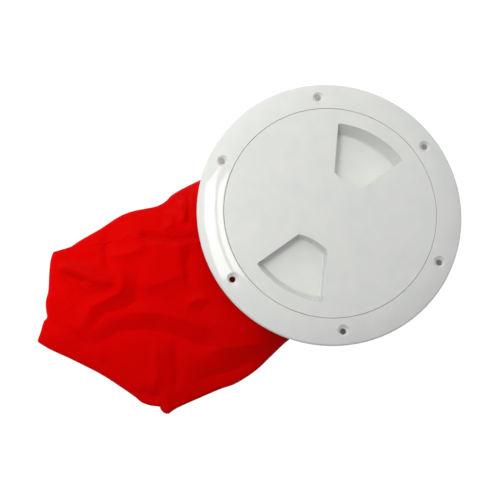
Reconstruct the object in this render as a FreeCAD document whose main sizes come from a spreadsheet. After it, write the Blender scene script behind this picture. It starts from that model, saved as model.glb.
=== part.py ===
import FreeCAD, Part
import math
import os
import re

import Sketcher
from FreeCAD import Vector

# Round screw-out deck inspection plate, with a cloth storage bag held on its collar.
# Origin: centre of the ring, on the underside of its flange. +Z points up out of the deck,
# +X runs through a screw hole, and the bag lies toward -X. All sizes are in millimetres.

SIZES = [
    # Ring: flange and collar
    ("flange_width", 20.2, "flange from the wall of the recess to its outer edge"),
    ("flange_rise", 4.8, "top of the flange where it meets the lid"),
    ("flange_edge", 0.8, "straight outer edge of the flange, under its rounding"),
    ("flange_round", 1.9, "rounding of the outer edge"),
    ("flange_slope", 13.0, "slope of the flange beside that rounding, degrees"),
    ("flange_dome", 70.0, "radius of the arc across the top of the flange"),
    ("rim_bevel", 0.5, "bevel on both edges along the seam"),
    ("ledge_width", 2.9, "sealing ledge, from the collar bore to the wall of the recess"),
    ("recess_wall", 3.0, "collar wall outside the recess"),
    ("recess_base", 3.4, "collar thickness under the sealing ledge"),
    ("clear_radius", 76.2, "clear opening inside the thread"),
    ("collar_wall", 3.2, "spigot wall behind the thread"),
    ("collar_depth", 24.0, "bottom of the collar below the deck face"),
    ("bead_reach", 0.7, "how far the bag bead stands out of the spigot"),
    ("bead_height", 2.4, "height of the bag bead"),
    # Screw holes
    ("screw_margin", 10.5, "from the outer edge of the flange to the middle of a screw hole"),
    ("screw_count", 6, "number of screw holes"),
    ("screw_radius", 2.4, "clearance for the screw shank"),
    ("screw_land", 1.9, "straight wall below the countersink"),
    ("screw_sink", 6.0, "depth of the countersinking cone, past the surface"),
    # Thread
    ("thread_lead", 6.0, "rise in one turn"),
    ("thread_depth", 2.2, "height of both ridges"),
    ("thread_gap", 0.4, "running clearance between ridge and root"),
    ("ridge_foot", 3.0, "ring ridge across its foot"),
    ("ridge_crest", 1.8, "ring ridge across its crest"),
    ("ridge_thinning", 0.4, "how much narrower the lid ridge is"),
    ("thread_inset", 0.8, "from the sealing ledge down to the ring thread"),
    ("ring_turns", 1.75, "turns of the ring thread"),
    ("lid_turns", 1.25, "turns of the lid thread"),
    # Lid
    ("seam_gap", 0.5, "gap between the lid and the recess wall"),
    ("lid_thickness", 2.4, "plate of the lid"),
    ("neck_gap", 0.6, "gap between the lid neck and the collar bore"),
    ("neck_depth", 1.3, "bottom of the neck below the deck face"),
    ("skirt_wall", 2.6, "wall of the threaded skirt"),
    ("skirt_tail", 0.5, "skirt below its lowest ridge"),
    # Finger pockets
    ("pocket_inset", 1.5, "gap between the wall of a pocket and the skirt"),
    ("pocket_inner", 30.4, "inner corners of a pocket at the top, from the centre"),
    ("pocket_end", 44.0, "radius of a pocket's rounded inner end"),
    ("pocket_spread", 24.3, "half of the angle between the two sides, degrees"),
    ("pocket_bearing", 25.0, "direction of the first pocket from +X, degrees"),
    ("pocket_depth", 12.0, "floor of a pocket below the top"),
    ("pocket_lean", 5.0, "how far the outer wall leans in at the floor"),
    ("pocket_draft", 0.6, "how far the other walls lean in at the floor"),
    ("pocket_wall", 2.0, "wall and floor of a pocket"),
    ("pocket_round", 2.6, "rounding of the pocket corners and floor"),
    ("pocket_lip", 0.5, "bevel round the pocket mouth"),
    # Seal
    ("seal_thick", 2.4, "thickness of the flat seal"),
    ("seal_width", 2.8, "width of the flat seal"),
    ("seal_gap", 0.3, "gap from the seal to the ledge, neck and lid"),
    # Bag
    ("cloth", 0.9, "thickness of the bag wall"),
    ("bag_gap", 0.3, "gap between the bag and the collar"),
    ("sleeve_drop", 2.1, "from the foot of the collar's shoulder down to the sleeve"),
    ("sleeve_hem", 2.0, "sleeve above the elastic band"),
    ("band_height", 5.0, "height of the elastic band"),
    ("band_thick", 1.4, "thickness of the elastic band"),
    ("neck_drop", 1.5, "from the elastic band down to where the cloth leaves the sleeve"),
    ("neck_reach", 16.3, "width of the strip over which the cloth then rises to its full height"),
    ("foot_bevel", 1.6, "bevel where the sleeve meets the surface"),
    ("bag_reach", 235.0, "tip of the bag from the centre of the ring"),
    ("bag_left", 92.0, "side of the bag toward +Y"),
    ("bag_right", 64.0, "side of the bag toward -Y"),
    ("bag_puff_near", 6.5, "top of the bag below the deck face beside the flange"),
    ("bag_puff_far", 15.0, "top of the bag below the deck face at its far end"),
    ("bag_seam", 2.6, "height of the flattened edge of the bag"),
    ("bag_roll", 60.0, "from the bag's edge to where it has its full height"),
    ("bag_fullness", 1.8, "how soon the bag rises at its edge, 1 for a straight slope"),
    ("hollow_margin", 5.0, "from the bag's outline to the edge of its hollow"),
    ("hollow_drop", 6.5, "how far the hollow stays below the bag's top, clear of the folds"),
]

# Shape of the bag in plan: along 0 is the centre of the ring and 1 the tip of the bag,
# across 1 is bag_left on the +Y side and bag_right on the -Y side.
LEFT_SIDE = [(0.13, 0.65), (0.22, 0.77), (0.28, 0.853), (0.35, 0.886), (0.44, 0.886), (0.51, 0.946),
             (0.58, 0.990), (0.70, 1.0), (0.796, 1.048)]
RIGHT_SIDE = [(0.13, -0.93), (0.24, -0.99), (0.345, -0.95), (0.42, -0.992), (0.52, -1.026),
              (0.615, -0.955), (0.70, -0.883), (0.765, -0.836), (0.80, -0.80)]
FAR_END = [(0.80, -0.80), (0.826, -0.62), (0.868, -0.25), (0.906, 0.045), (0.953, 0.26), (0.987, 0.40),
           (1.0, 0.50), (0.962, 0.587), (0.932, 0.64), (0.906, 0.75), (0.872, 0.86), (0.84, 0.955),
           (0.796, 1.048)]

# Folds of the cloth as shares of bag_reach: points of the fold's line, height (negative for a
# crease) and half width.
FOLDS = [
    ([(-0.540, 0.302), (-0.515, 0.272), (-0.477, 0.234), (-0.396, 0.179)], -0.0143, 0.0179),
    ([(-0.532, 0.255), (-0.477, 0.209), (-0.426, 0.170)], 0.0058, 0.0179),
    ([(-0.617, 0.328), (-0.566, 0.315), (-0.545, 0.272)], 0.0073, 0.0191),
    ([(-0.677, 0.306), (-0.630, 0.272), (-0.583, 0.260), (-0.549, 0.255)], 0.0109, 0.0179),
    ([(-0.332, 0.332), (-0.362, 0.281), (-0.400, 0.230)], -0.0124, 0.0179),
    ([(-0.366, 0.323), (-0.383, 0.277), (-0.409, 0.247)], 0.0085, 0.0179),
    ([(-0.434, 0.323), (-0.421, 0.294), (-0.438, 0.268), (-0.464, 0.264)], 0.0092, 0.0179),
    ([(-0.447, 0.323), (-0.460, 0.289), (-0.481, 0.281)], -0.0065, 0.0179),
    ([(-0.617, 0.391), (-0.655, 0.332), (-0.694, 0.255)], -0.0124, 0.0179),
    ([(-0.655, 0.387), (-0.681, 0.332)], 0.0058, 0.0179),
    ([(-0.821, 0.374), (-0.779, 0.315), (-0.740, 0.251), (-0.702, 0.204)], 0.0156, 0.0179),
    ([(-0.800, 0.391), (-0.753, 0.349), (-0.698, 0.311)], -0.0110, 0.0179),
    ([(-0.821, 0.328), (-0.809, 0.272), (-0.791, 0.213)], -0.0117, 0.0179),
    ([(-0.847, 0.311), (-0.851, 0.268), (-0.864, 0.221)], 0.0058, 0.0179),
    ([(-0.655, 0.251), (-0.681, 0.191), (-0.702, 0.174), (-0.762, 0.183), (-0.804, 0.191),
      (-0.851, 0.157)], 0.0131, 0.0179),
    ([(-0.617, 0.204), (-0.672, 0.123), (-0.719, 0.123), (-0.783, 0.149),
      (-0.838, 0.128)], -0.0131, 0.0187),
    ([(-0.638, 0.149), (-0.579, 0.128), (-0.515, 0.111)], 0.0087, 0.0213),
    ([(-0.455, 0.209), (-0.489, 0.149), (-0.519, 0.085)], 0.0078, 0.0179),
    ([(-0.438, 0.162), (-0.481, 0.119), (-0.502, 0.072)], -0.0071, 0.0179),
    ([(-0.553, 0.017), (-0.511, 0.017), (-0.477, -0.004)], 0.0078, 0.0179),
    ([(-0.515, -0.009), (-0.519, -0.043), (-0.502, -0.077)], -0.0071, 0.0179),
    ([(-0.932, 0.230), (-0.906, 0.170), (-0.885, 0.085)], -0.0124, 0.0179),
    ([(-0.962, 0.213), (-0.940, 0.166), (-0.915, 0.094)], 0.0058, 0.0179),
    ([(-0.864, 0.119), (-0.779, 0.132), (-0.706, 0.102), (-0.634, 0.047), (-0.583, -0.013),
      (-0.523, -0.098)], 0.0138, 0.0238),
    ([(-0.843, 0.081), (-0.779, 0.077), (-0.702, 0.034), (-0.638, -0.030), (-0.587, -0.111),
      (-0.528, -0.170)], -0.0138, 0.0238),
    ([(-0.698, -0.021), (-0.745, -0.094), (-0.796, -0.157)], 0.0093, 0.0196),
    ([(-0.643, -0.051), (-0.685, -0.123), (-0.728, -0.179)], -0.0087, 0.0179),
    ([(-0.851, 0.072), (-0.877, 0.026)], 0.0065, 0.0179),
    ([(-0.626, -0.140), (-0.540, -0.162), (-0.426, -0.204)], 0.0102, 0.0255),
    ([(-0.660, -0.191), (-0.596, -0.200), (-0.498, -0.238)], -0.0116, 0.0230),
    ([(-0.826, -0.123), (-0.809, -0.149), (-0.779, -0.170)], -0.0117, 0.0179),
    ([(-0.762, -0.162), (-0.779, -0.200)], 0.0078, 0.0179),
]
SKIN_ROWS = 43
SKIN_COLUMNS = 35
SKIN_PATCHES = (10, 8)

doc = FreeCAD.newDocument("deck_inspection_plate")
sheet = doc.addObject("Spreadsheet::Sheet", "Sizes")
for row, (alias, amount, meaning) in enumerate(SIZES, start=1):
    sheet.set(f"A{row}", meaning)
    sheet.set(f"B{row}", str(amount))
    sheet.setAlias(f"B{row}", alias)
doc.recompute()
NAMES = {alias for alias, _amount, _meaning in SIZES}

# Sizes that follow from the sheet, as formulas of its names
BORE = "(clear_radius + thread_depth)"
SPIGOT = f"({BORE} + collar_wall)"
BEAD = f"({SPIGOT} + bead_reach)"
RECESS = f"({BORE} + ledge_width)"
FLANGE = f"({RECESS} + flange_width)"
SCREW_CIRCLE = f"({FLANGE} - screw_margin)"
SHOULDER = f"({RECESS} + recess_wall)"
LEDGE = "(flange_rise - lid_thickness - seal_thick - 2 * seal_gap)"
SHOULDER_BASE = f"({LEDGE} - recess_base)"
SHOULDER_FOOT = f"({SHOULDER_BASE} - {SHOULDER} + {SPIGOT})"
LID_EDGE = f"({RECESS} - seam_gap)"
LID_UNDER = "(flange_rise - lid_thickness)"
NECK = f"({BORE} - neck_gap)"
SKIRT = "(clear_radius - thread_gap)"
RING_THREAD_LOW = f"(ring_turns * thread_lead + ridge_foot / 2 + thread_inset - {LEDGE})"
LID_THREAD_LOW = f"({RING_THREAD_LOW} - thread_lead / 2)"
SKIRT_BASE = f"(-{LID_THREAD_LOW} - ridge_foot / 2 - skirt_tail)"
POCKET_FLOOR = "(flange_rise - pocket_depth)"
POCKET_OUTER = f"({SKIRT} - skirt_wall - pocket_inset - pocket_wall)"
SLEEVE_INSIDE = f"({BEAD} + bag_gap)"
SLEEVE_OUTSIDE = f"({SLEEVE_INSIDE} + cloth)"
BAG_BASE = "(-collar_depth - bag_gap - cloth)"
SLEEVE_TOP = f"({SHOULDER_FOOT} - sleeve_drop)"
BAND_BASE = f"({SLEEVE_TOP} - sleeve_hem - band_height)"
BAND_INSIDE = f"({SLEEVE_OUTSIDE} + bag_gap)"
BAND_OUTSIDE = f"({BAND_INSIDE} + band_thick)"
NECK_LEVEL = f"({BAND_BASE} - neck_drop)"


def bind(formula):
    """Return a formula with every size name pointing into the sheet."""
    return re.sub(r"[a-z_]+", lambda word: f"Sizes.{word[0]}" if word[0] in NAMES else word[0], formula)


def value(formula):
    """Return the number that a formula of the sheet's names gives now."""
    return float(sheet.evalExpression(bind(formula)))


def origin_feature(body, role):
    """Return the origin plane or axis of a body that has this role."""
    return next(item for item in body.Origin.OriginFeatures if item.Role == role)


def arc_between(start, end, radius):
    """Return the arc from start to end, and which of its ends comes first.

    The centre lies to the left of the way from start to end for a positive radius.
    """
    middle = (start + end) * 0.5
    chord = end - start
    left = Vector(-chord.y, chord.x, 0).normalize()
    reach = math.sqrt(radius ** 2 - (chord.Length / 2) ** 2)
    centre = middle + left * math.copysign(reach, radius)
    first, last = (start, end) if radius > 0 else (end, start)
    circle = Part.Circle(centre, Vector(0, 0, 1), abs(radius))
    return Part.ArcOfCircle(circle, circle.parameter(first), circle.parameter(last)), radius > 0


def outline(body, name, corners, role="XZ_Plane", shift="0", lift="0", turn="0"):
    """Add a closed sketch to a body, with every corner bound to the sheet.

    A corner is (across, up), or (across, up, radius) where an arc leaves it, and each is a
    formula. The sketch may be shifted across its plane, lifted off it and turned on it.
    """
    sketch = body.newObject("Sketcher::SketchObject", name)
    sketch.AttachmentSupport = [(origin_feature(body, role), "")]
    sketch.MapMode = "FlatFace"
    sketch.setExpression(".AttachmentOffset.Base.x", bind(shift))
    sketch.setExpression(".AttachmentOffset.Base.z", bind(lift))
    sketch.setExpression(".AttachmentOffset.Rotation.Angle", bind(turn))
    points = [Vector(value(corner[0]), value(corner[1]), 0) for corner in corners]
    ends = []
    for index, corner in enumerate(corners):
        start, end = points[index], points[(index + 1) % len(points)]
        if len(corner) == 3:
            arc, forward = arc_between(start, end, value(corner[2]))
            sketch.addGeometry(arc)
            ends.append((1, 2) if forward else (2, 1))
            radius = sketch.addConstraint(Sketcher.Constraint("Radius", index, abs(value(corner[2]))))
            sketch.setExpression(f"Constraints[{radius}]", bind(f"abs({corner[2]})"))
        else:
            sketch.addGeometry(Part.LineSegment(start, end))
            ends.append((1, 2))
    for index in range(len(corners)):
        after = (index + 1) % len(corners)
        sketch.addConstraint(Sketcher.Constraint("Coincident", index, ends[index][1], after, ends[after][0]))
    for index, corner in enumerate(corners):
        for kind, formula, axis_line in (("DistanceX", corner[0], -2), ("DistanceY", corner[1], -1)):
            if formula == "0":
                sketch.addConstraint(Sketcher.Constraint("PointOnObject", index, ends[index][0], axis_line))
                continue
            place = Sketcher.Constraint(kind, -1, 1, index, ends[index][0], value(formula))
            number = sketch.addConstraint(place)
            sketch.setExpression(f"Constraints[{number}]", bind(formula))
    doc.recompute()
    return sketch


def shape_feature(body, kind, name, profile, **bound):
    """Add a PartDesign feature that turns, sweeps or lofts a profile, with bound sizes."""
    feature = body.newObject(f"PartDesign::{kind}", name)
    feature.Profile = profile
    if "Loft" not in kind:
        feature.ReferenceAxis = (profile, ["V_Axis"])
    for name_of_size, formula in bound.items():
        feature.setExpression(name_of_size, bind(formula))
    return feature


def edges_where(shape, test):
    """Return the names of the edges of a shape that pass a test."""
    return [f"Edge{number}" for number, edge in enumerate(shape.Edges, start=1) if test(edge)]


def is_ring(radius, height):
    """Return a test for whole circles about the Z axis of this radius and height."""
    def test(edge):
        if edge.Curve.TypeId != "Part::GeomCircle":
            return False
        centre = edge.Curve.Center
        return math.dist((edge.Curve.Radius, *centre), (value(radius), 0, 0, value(height))) < 1e-4
    return test


def dress_edges(body, kind, name, test, **bound):
    """Add a PartDesign fillet or chamfer on the edges of the body's tip that pass a test."""
    doc.recompute()
    base = body.Tip
    feature = body.newObject(f"PartDesign::{kind}", name)
    feature.Base = (base, edges_where(base.Shape, test))
    for name_of_size, formula in bound.items():
        feature.setExpression(name_of_size, bind(formula))
    doc.recompute()
    return feature


def helix(body, name, foot, crest, root, tip, low, turns):
    """Add one screw ridge that rises from its lowest turn to the body."""
    sunk = f"({root} + 0.3 * ({root} - {tip}) / thread_depth)"
    corners = [(sunk, f"-{low} - {foot} / 2"), (tip, f"-{low} - {crest} / 2"),
               (tip, f"-{low} + {crest} / 2"), (sunk, f"-{low} + {foot} / 2")]
    profile = outline(body, f"{name}_section", corners)
    ridge = shape_feature(body, "AdditiveHelix", name, profile, Pitch="thread_lead", Turns=turns)
    ridge.Mode = "pitch-turns-angle"
    doc.recompute()
    return ridge


def cutter(kind, name, base, **bound):
    """Cut a round primitive out of the ring, upright over the circle of screw holes."""
    tool = ring.newObject(f"PartDesign::Subtractive{kind}", name)
    tool.AttachmentSupport = [(origin_feature(ring, "XY_Plane"), "")]
    tool.MapMode = "FlatFace"
    tool.setExpression(".AttachmentOffset.Base.x", bind(SCREW_CIRCLE))
    tool.setExpression(".AttachmentOffset.Base.z", bind(base))
    for name_of_size, formula in bound.items():
        tool.setExpression(name_of_size, bind(formula))
    doc.recompute()
    return tool


# Deck ring: domed flange, recess for the lid, stepped collar and internal thread
ring = doc.addObject("PartDesign::Body", "deck_ring")
ring_profile = outline(ring, "ring_profile", [
    (FLANGE, "0"),
    (FLANGE, "flange_edge", "flange_round"),
    (f"{FLANGE} - flange_round + flange_round * sin(flange_slope)",
     "flange_edge + flange_round * cos(flange_slope)", "flange_dome"),
    (f"{RECESS} + rim_bevel", "flange_rise"),
    (RECESS, "flange_rise - rim_bevel"),
    (RECESS, LEDGE),
    (BORE, LEDGE),
    (BORE, "-collar_depth"),
    (BEAD, "-collar_depth"),
    (BEAD, "-collar_depth + bead_height - bead_reach"),
    (SPIGOT, "-collar_depth + bead_height"),
    (SPIGOT, SHOULDER_FOOT),
    (SHOULDER, SHOULDER_BASE),
    (SHOULDER, "0"),
], role="YZ_Plane")
shape_feature(ring, "Revolution", "ring_wall", ring_profile)
shank = cutter("Cylinder", "screw_shank", "-screw_land", Radius="screw_radius", Height="4 * screw_land")
sink = cutter("Cone", "screw_sink_cone", "screw_land", Radius1="screw_radius",
              Radius2="screw_radius + screw_sink", Height="screw_sink")
screw_holes = ring.newObject("PartDesign::PolarPattern", "screw_holes")
screw_holes.Originals = [shank, sink]
screw_holes.Axis = (origin_feature(ring, "Z_Axis"), [""])
screw_holes.Angle = 360
screw_holes.setExpression("Occurrences", bind("screw_count"))
ring.Tip = screw_holes
doc.recompute()
helix(ring, "ring_thread", "ridge_foot", "ridge_crest", BORE, "clear_radius", RING_THREAD_LOW, "ring_turns")

# Screw lid: flush plate, neck, threaded skirt and two finger pockets
lid = doc.addObject("PartDesign::Body", "screw_lid")
lid_profile = outline(lid, "lid_profile", [
    ("0", "flange_rise"),
    ("0", LID_UNDER),
    (f"{SKIRT} - skirt_wall", LID_UNDER),
    (f"{SKIRT} - skirt_wall", SKIRT_BASE),
    (SKIRT, SKIRT_BASE),
    (SKIRT, "-neck_depth"),
    (NECK, "-neck_depth"),
    (NECK, LID_UNDER),
    (LID_EDGE, LID_UNDER),
    (LID_EDGE, "flange_rise - rim_bevel"),
    (f"{LID_EDGE} - rim_bevel", "flange_rise"),
])
shape_feature(lid, "Revolution", "lid_wall", lid_profile)
helix(lid, "lid_thread", "(ridge_foot - ridge_thinning)", "(ridge_crest - ridge_thinning)", SKIRT,
      f"({BORE} - thread_gap)", LID_THREAD_LOW, "lid_turns")


def sector(name, inner, outer, offset, lift, bearing):
    """Add to the lid the sketch of a fan with a rounded inner end, its straight sides moved out by an offset."""
    def corner(radius, side, arc=None):
        angle = f"(1 deg * pocket_spread + asin({offset} / {radius}))"
        place = (f"{radius} * cos({angle})", f"{side} * {radius} * sin({angle})")
        return place + ((arc,) if arc else ())
    corners = [corner(outer, -1, outer), corner(outer, 1), corner(inner, 1, "pocket_end"), corner(inner, -1)]
    return outline(lid, name, corners, role="XY_Plane", lift=lift, turn=bearing)


def loft(kind, name, upper, lower):
    """Add to the lid a straight loft between two sketches."""
    feature = shape_feature(lid, kind, name, upper)
    feature.Sections = [lower]
    feature.Ruled = True
    doc.recompute()
    return feature


for pocket, bearing in (("first", "pocket_bearing"), ("second", "pocket_bearing + 180")):
    shell_top = sector(f"{pocket}_shell_top", "(pocket_inner - pocket_wall)", f"({POCKET_OUTER} + pocket_wall)",
                       "pocket_wall", "flange_rise", bearing)
    shell_base = sector(f"{pocket}_shell_base", "(pocket_inner + pocket_draft - pocket_wall)",
                        f"({POCKET_OUTER} - pocket_lean + pocket_wall)", "(pocket_wall - pocket_draft)",
                        f"{POCKET_FLOOR} - pocket_wall", bearing)
    loft("AdditiveLoft", f"{pocket}_pocket_shell", shell_top, shell_base)
    mouth = sector(f"{pocket}_pocket_mouth", "pocket_inner", POCKET_OUTER, "0.001", "flange_rise", bearing)
    floor = sector(f"{pocket}_pocket_floor", "(pocket_inner + pocket_draft)", f"({POCKET_OUTER} - pocket_lean)",
                   "(0.001 - pocket_draft)", POCKET_FLOOR, bearing)
    loft("SubtractiveLoft", f"{pocket}_pocket", mouth, floor)


def heights_in_pocket(edge):
    """Return the heights of an edge's ends, or nothing where it lies outside the pockets."""
    radii = [math.hypot(point.X, point.Y) for point in edge.Vertexes]
    wall = value("pocket_wall") / 2
    inside = min(radii) > value("pocket_inner") - wall and max(radii) < value(POCKET_OUTER) + wall
    return [point.Z for point in edge.Vertexes] if inside else []


def in_pocket(edge):
    """Tell whether an edge belongs to the hollow of a pocket, but not to its mouth."""
    heights = heights_in_pocket(edge)
    return bool(heights) and math.isclose(min(heights), value(POCKET_FLOOR), abs_tol=1e-4)


def is_mouth(edge):
    """Tell whether an edge runs round the mouth of a pocket."""
    heights = heights_in_pocket(edge)
    return bool(heights) and math.isclose(min(heights), value("flange_rise"), abs_tol=1e-4)


dress_edges(lid, "Fillet", "pocket_rounds", in_pocket, Radius="pocket_round")
dress_edges(lid, "Chamfer", "pocket_lips", is_mouth, Size="pocket_lip")


def primitive(kind, name, height, **bound):
    """Add a Part primitive at a height, with its sizes bound to the sheet."""
    item = doc.addObject(f"Part::{kind}", name)
    item.setExpression(".Placement.Base.z", bind(height))
    for name_of_size, formula in bound.items():
        item.setExpression(name_of_size, bind(formula))
    return item


def combine(kind, name, first, second):
    """Add the Part boolean of two objects."""
    result = doc.addObject(f"Part::{kind}", name)
    result.Base, result.Tool = first, second
    result.Refine = False
    return result


def flat_ring(name, inside, outside, base, height):
    """Add a flat ring about the Z axis, standing on its base."""
    outer = primitive("Cylinder", f"{name}_outside", base, Radius=outside, Height=height)
    inner = primitive("Cylinder", f"{name}_inside", base, Radius=inside, Height=height)
    return combine("Cut", name, outer, inner)


# Flat rubber seal on the ledge, around the neck of the lid
lid_seal = flat_ring("lid_seal", f"{NECK} + seal_gap", f"{NECK} + seal_gap + seal_width",
                     f"{LEDGE} + seal_gap", "seal_thick")

# Elastic band that grips the sleeve of the bag on the spigot
bag_band = flat_ring("bag_band", BAND_INSIDE, BAND_OUTSIDE, BAND_BASE, "band_height")


def plan_curve(points):
    """Return a function that gives the place at a share of the way along a smooth plan curve."""
    reach, left, right = value("bag_reach"), value("bag_left"), value("bag_right")
    places = [Vector(-along * reach, across * (left if across > 0 else right), 0) for along, across in points]
    curve = Part.BSplineCurve()
    curve.interpolate(places)
    return lambda share: curve.value(curve.parameterAtDistance(share * curve.length(), curve.FirstParameter))


def smooth_step(amount):
    """Return a smooth rise from 0 to 1 while the amount goes from 0 to 1."""
    amount = min(max(amount, 0.0), 1.0)
    return amount * amount * (3.0 - 2.0 * amount)


def nearest_on(line, place):
    """Return how far a place lies from a line of points, and its share of the way along the line."""
    best = (math.inf, 0.0)
    for number, (start, end) in enumerate(zip(line, line[1:])):
        way = end - start
        share = min(max((place - start).dot(way) / way.dot(way), 0.0), 1.0)
        best = min(best, ((place - start - way * share).Length, (number + share) / (len(line) - 1)))
    return best


def fold_height(place):
    """Return the sum of the folds at a place of the bag's plan."""
    reach = value("bag_reach")
    total = 0.0
    for points, height, half_width in FOLDS:
        distance, share = nearest_on([Vector(*point, 0) * reach for point in points], place)
        apart = distance / (half_width * reach)
        fade = min(1.25 - abs(2.0 * share - 1.0) ** 3, 1.0)
        total += height * reach * fade * (0.3 * math.exp(-0.7 * apart ** 2) + 0.7 * math.exp(-apart))
    return total


def bag_top(place, inset, folds, wall):
    """Return the height of the bag's cloth, or of its hollow, at a place of the bag's plan.

    The inset is how far the place lies from the outline, and the wall how far the hollow lies
    below the cloth at its edge.
    """
    along = min(max(-place.x / value("bag_reach"), 0.0), 1.0)
    near, far = -value("bag_puff_near"), -value("bag_puff_far")
    seam = value(BAG_BASE) + value("bag_seam") - wall
    full = 1.0 - (1.0 - min(inset / value("bag_roll"), 1.0)) ** value("bag_fullness")
    height = seam + (near + (far - near) * along ** 1.3 + folds - seam) * full
    lift_off = smooth_step((math.hypot(place.x, place.y) - value(BAND_OUTSIDE)) / value("neck_reach"))
    neck_level = value(NECK_LEVEL) - wall
    return min(height, neck_level + (height - neck_level) * lift_off)


def ends_held(poles):
    """Return the knot multiplicities of a cubic curve that starts and ends on its end poles."""
    return [4] + [1] * (poles - 4) + [4]


def bag_skin(margin, rows, columns):
    """Return the upper surface of the bag's body.

    With no margin it is the folded outer surface, and with one it is the plain surface of the
    hollow, that far inside the outline.
    """
    left, right, far = (plan_curve(points) for points in (LEFT_SIDE, RIGHT_SIDE, FAR_END))
    rims = [[side(number / 100) for number in range(101)] for side in (left, right, far)]
    wall = value("cloth") if margin else 0.0
    width = (far(1) - far(0)).Length
    grid = []
    for row in range(rows):
        along = row / (rows - 1) * (1 - margin / value("bag_reach"))
        line = []
        for column in range(columns):
            across = 0.5 + (column / (columns - 1) - 0.5) * (1 - 2 * margin / width)
            near = right(0) * (1 - across) + left(0) * across
            side = right(along) * (1 - across) + left(along) * across
            corner = near * (1 - along) + (far(0) * (1 - across) + far(1) * across) * along
            place = side + near * (1 - along) + far(across) * along - corner
            inset = max(min(nearest_on(rim, place)[0] for rim in rims) - margin, 0.0)
            folds = -value("hollow_drop") if margin else fold_height(place)
            line.append(place + Vector(0, 0, bag_top(place, inset, folds, wall)))
        grid.append(line)
    surface = Part.BSplineSurface()
    surface.buildFromPolesMultsKnots(grid, ends_held(rows), ends_held(columns), range(rows - 2),
                                     range(columns - 2), False, False, 3, 3)
    return surface


def split(span, parts):
    """Return the bounds that divide a range of a surface into equal parts."""
    return [span * number / parts for number in range(parts + 1)]


def bag_body(name, skin, base, patches):
    """Add the solid between a skin, cut into a grid of patches, and its shadow on its base."""
    _first, rows, _start, columns = skin.bounds()
    row_bounds, column_bounds = split(rows, patches[0]), split(columns, patches[1])
    faces = []
    for low, high in zip(row_bounds, row_bounds[1:]):
        for left, right in zip(column_bounds, column_bounds[1:]):
            patch = skin.copy()
            patch.segment(low, high, left, right)
            faces.append(patch.toShape())
    rim = [skin.vIso(0), skin.vIso(columns), skin.uIso(0), skin.uIso(rows)]
    shadow = []
    for curve, bounds in zip(rim, (row_bounds, row_bounds, column_bounds, column_bounds)):
        flat = curve.copy()
        for number, pole in enumerate(curve.getPoles(), start=1):
            flat.setPole(number, Vector(pole.x, pole.y, value(base)))
        for start, end in zip(bounds, bounds[1:]):
            upper, lower = curve.copy(), flat.copy()
            upper.segment(start, end)
            lower.segment(start, end)
            shadow.append(lower.toShape())
            faces.append(Part.makeRuledSurface(upper.toShape(), shadow[-1]))
    faces.append(Part.Face(Part.Wire(Part.__sortEdges__(shadow))))
    shell = Part.makeShell(faces)
    shell.sewShape()
    body = doc.addObject("Part::Feature", name)
    body.Shape = Part.makeSolid(shell)
    return body


def sleeve(name, radius, base, height, foot):
    """Add a cylinder with a bevelled foot, standing on its base about the Z axis."""
    tube = primitive("Cylinder", f"{name}_tube", base, Radius=radius, Height=height)
    doc.recompute()
    bevelled = doc.addObject("Part::Chamfer", name)
    bevelled.Base = tube
    on_foot = is_ring(radius, base)
    bevelled.Edges = [(number, value(foot), value(foot)) for number, edge in enumerate(tube.Shape.Edges, start=1)
                      if on_foot(edge)]
    return bevelled


# Storage bag: folded body that opens into a sleeve around the collar
outside = combine("Fuse", "bag_outside",
                  bag_body("bag_body", bag_skin(0, SKIN_ROWS, SKIN_COLUMNS), BAG_BASE, SKIN_PATCHES),
                  sleeve("bag_sleeve", SLEEVE_OUTSIDE, BAG_BASE, f"{SLEEVE_TOP} - {BAG_BASE}", "foot_bevel"))
inside = combine("Fuse", "bag_inside",
                 bag_body("bag_body_hollow", bag_skin(value("hollow_margin"), 6, 6), f"({BAG_BASE} + cloth)",
                          (1, 1)),
                 sleeve("bag_sleeve_hollow", SLEEVE_INSIDE, f"({BAG_BASE} + cloth)", "collar_depth",
                        "foot_bevel - cloth"))
storage_bag = combine("Cut", "storage_bag", outside, inside)

SUBPARTS = {"deck_ring": ring, "screw_lid": lid, "lid_seal": lid_seal, "storage_bag": storage_bag,
            "bag_band": bag_band}
doc.recompute()
for item in doc.Objects:
    if "Invalid" in item.State or "Error" in item.State:
        raise RuntimeError(f"{item.Name} did not build: {item.State}")
for node, item in SUBPARTS.items():
    item.Label = node
    shape = item.Shape
    if shape.isNull() or not shape.isValid() or not shape.Solids:
        raise RuntimeError(f"{node} has no valid solid")
    print(f"{node}: {len(shape.Solids)} solid, {shape.Volume:.0f} mm3, {len(shape.Faces)} faces")

os.makedirs("parts", exist_ok=True)
for node, item in SUBPARTS.items():
    item.Shape.exportStep(f"parts/{node}.step")
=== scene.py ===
"""Looks of a round screw-out deck inspection plate with a red cloth storage bag.

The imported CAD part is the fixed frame. Its origin is the centre of the ring on the underside of the
flange, +Z points out of the deck, +X runs through a screw hole, and the bag lies toward -X.
Sizes in the classes are in millimetres, and objects are built in metres.
"""

import logging
import math
from collections.abc import Callable
from dataclasses import dataclass, field
from enum import Enum

import bpy
import numpy as np
from mathutils import Matrix, Vector, noise

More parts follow.
